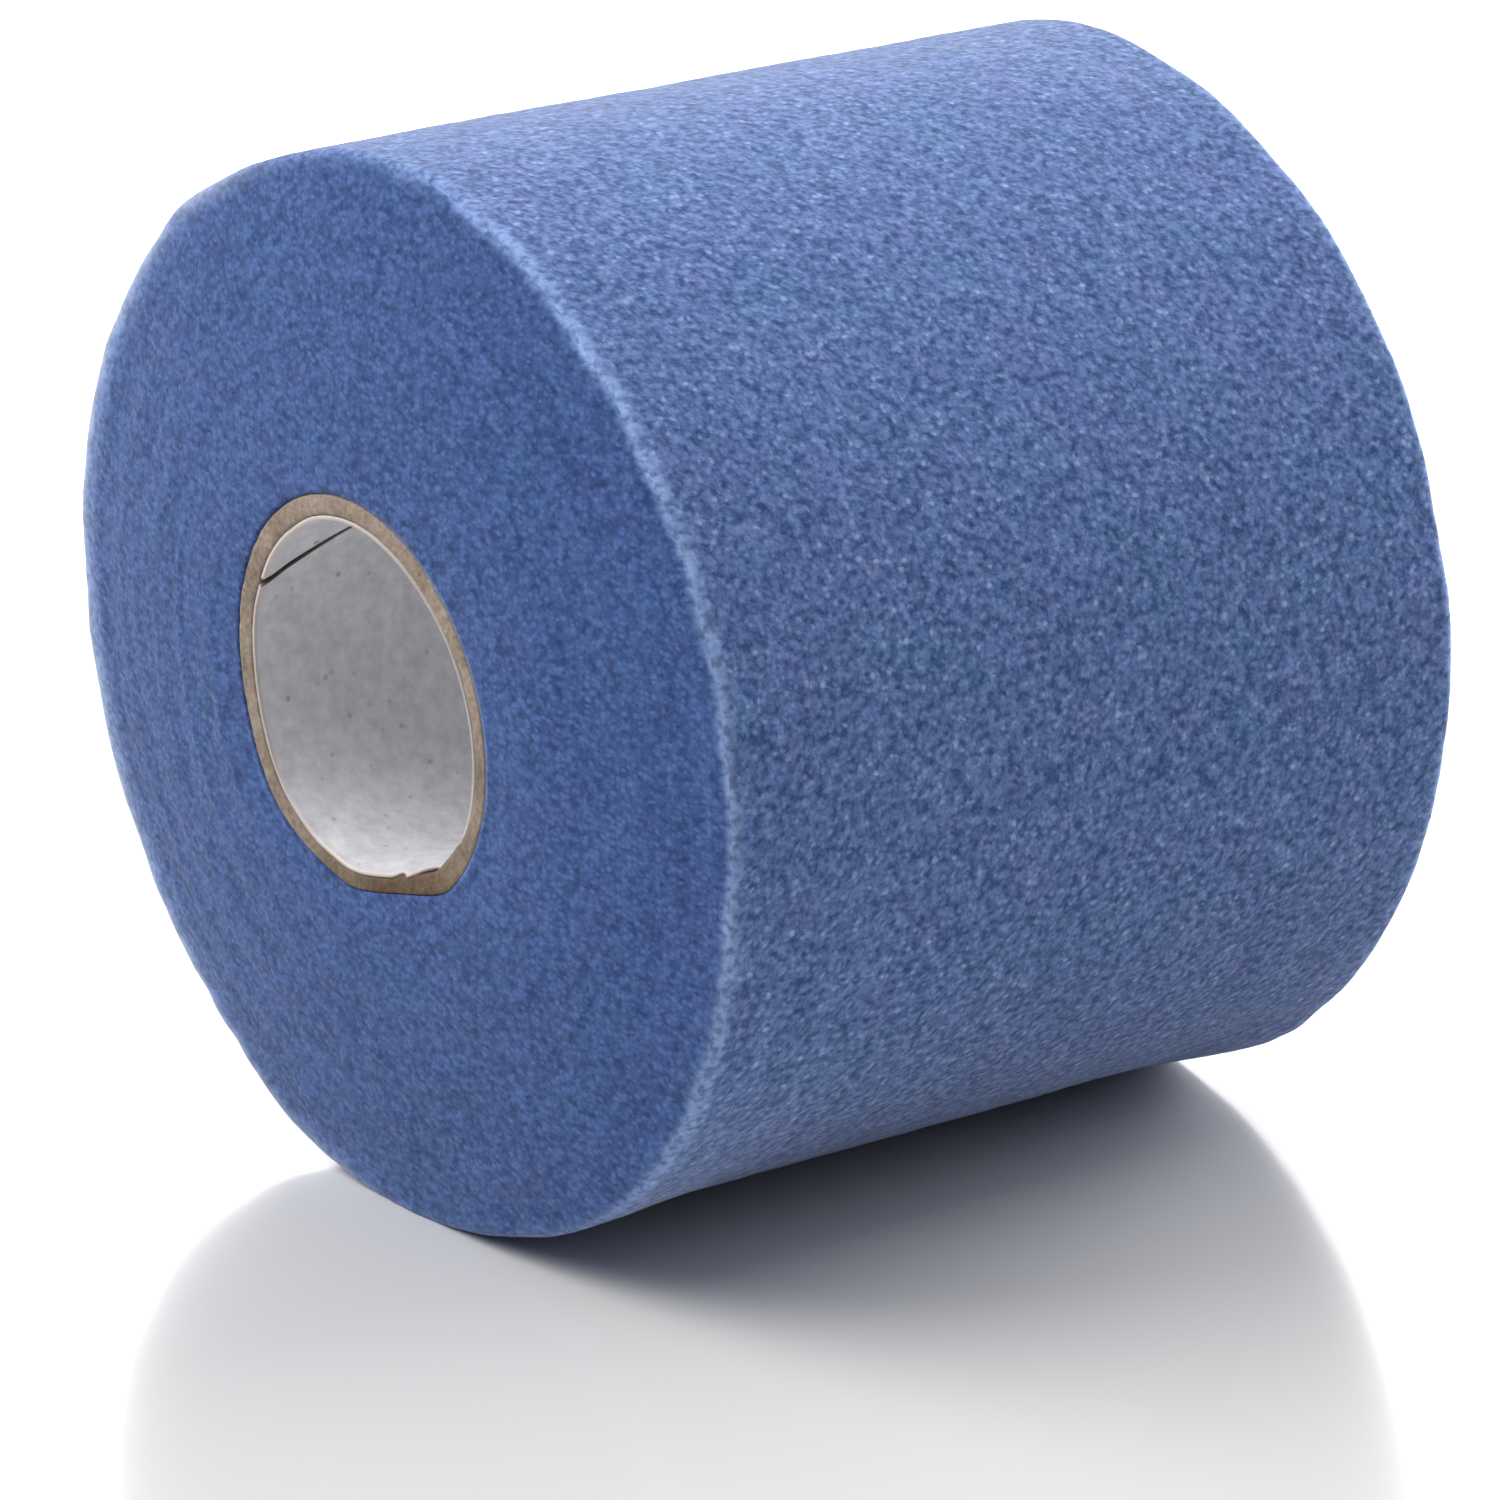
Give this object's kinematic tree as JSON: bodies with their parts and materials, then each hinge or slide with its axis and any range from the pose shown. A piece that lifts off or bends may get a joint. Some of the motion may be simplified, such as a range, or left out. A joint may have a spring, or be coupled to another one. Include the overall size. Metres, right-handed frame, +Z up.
{
  "type": "foam underwrap roll",
  "caption": "Roll of thin soft foam underwrap for skin, wound on a paperboard core, lying on its side with its inner turns slid out at one end.",
  "frame": {"origin": "middle of the roll's box, on the surface it lies on; the point is on the flat spot that the roll rests on", "axes": "+Z up; the roll's axis lies along Y, with the end whose turns stand out facing -Y; X across the roll"},
  "size_m": [0.0852, 0.0728, 0.0832],
  "materials": {
    "foam": "matte open-cell polyurethane foam, blue, finely granular",
    "kraft_board": "matte brown kraft paperboard, cut edge with visible fibres",
    "white_paper": "smooth pale grey-white paper, slight sheen"
  },
  "bodies": {
    "root": {"foam_roll": "foam", "core_tube": "kraft_board", "core_liner": "white_paper"}
  },
  "joints": []
}
